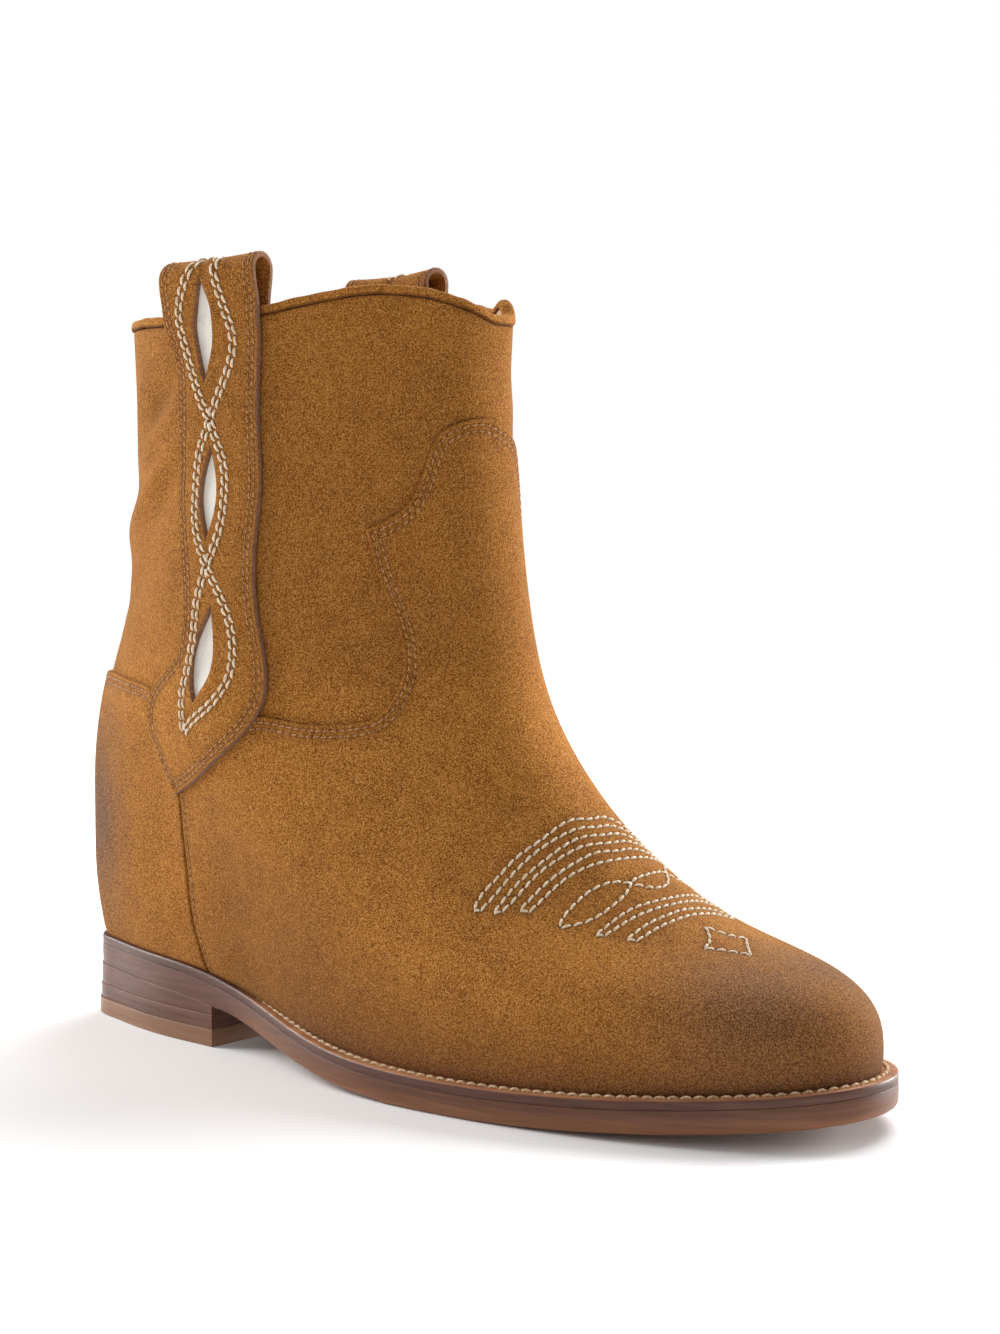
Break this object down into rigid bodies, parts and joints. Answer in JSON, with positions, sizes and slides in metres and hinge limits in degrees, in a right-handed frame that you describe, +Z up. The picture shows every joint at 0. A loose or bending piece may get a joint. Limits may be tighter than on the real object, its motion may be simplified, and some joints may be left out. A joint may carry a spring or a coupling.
{
  "type": "ankle boot",
  "caption": "Pull-on cowboy ankle boot in tan suede with looped pull straps, pointed vamp tongue, stitched toe, welted leather sole and low stacked heel.",
  "frame": {"origin": "centre of the boot's overall box at the level of the ground", "axes": "+X towards the toe, +Z up, the outer (lateral) side faces -Y"},
  "size_m": [0.2726, 0.0952, 0.2225],
  "materials": {
    "tan_suede": "brushed nap, unglazed, darker at the toe and heel",
    "inlay_leather": "smooth off-white leather",
    "lining_leather": "smooth undyed lining leather",
    "sole_leather": "waxed and burnished edges",
    "welt_leather": "oiled welting leather",
    "top_piece_leather": "worn top lift",
    "stiffener_board": "resin-stiffened felt",
    "insole_board": "pressed leather board",
    "cork": "granulated cork",
    "steel": "plain spring steel and wire"
  },
  "bodies": {
    "boot": {"bottom_filler": "cork", "concealed_wedge": "cork", "heel_counter_cover": "tan_suede", "heel_grip": "lining_leather", "heel_lift_lower": "sole_leather", "heel_lift_upper": "sole_leather", "heel_nail_1": "steel", "heel_nail_2": "steel", "heel_nail_3": "steel", "heel_nail_4": "steel", "heel_nail_5": "steel", "heel_stiffener": "stiffener_board", "heel_top_piece": "top_piece_leather", "insole_board": "insole_board", "lateral_inlay_strip": "inlay_leather", "lateral_inner_tab": "tan_suede", "lateral_pull_strap": "tan_suede", "medial_inlay_strip": "inlay_leather", "medial_inner_tab": "tan_suede", "medial_pull_strap": "tan_suede", "outsole": "sole_leather", "shaft_back": "tan_suede", "shaft_front": "tan_suede", "shaft_lining_back": "lining_leather", "shaft_lining_front": "lining_leather", "shank": "steel", "shank_rivet_front": "steel", "shank_rivet_rear": "steel", "sock_liner": "lining_leather", "toe_puff": "stiffener_board", "topline_binding": "tan_suede", "vamp": "tan_suede", "vamp_lining": "lining_leather", "welt": "welt_leather"},
    "lateral_loop": {"lateral_pull_loop": "tan_suede"},
    "medial_loop": {"medial_pull_loop": "tan_suede"}
  },
  "joints": [
    {"name": "lateral_loop_tilt", "type": "hinge", "parent": "boot", "child": "lateral_loop", "pos_m": [-0.054, -0.0362, 0.2085], "axis": [1, 0, 0], "range_deg": [-15, 15], "stiffness_Nm_per_rad": 0.005},
    {"name": "medial_loop_tilt", "type": "hinge", "parent": "boot", "child": "medial_loop", "pos_m": [-0.054, 0.0368, 0.2085], "axis": [1, 0, 0], "range_deg": [-15, 15], "stiffness_Nm_per_rad": 0.005}
  ]
}
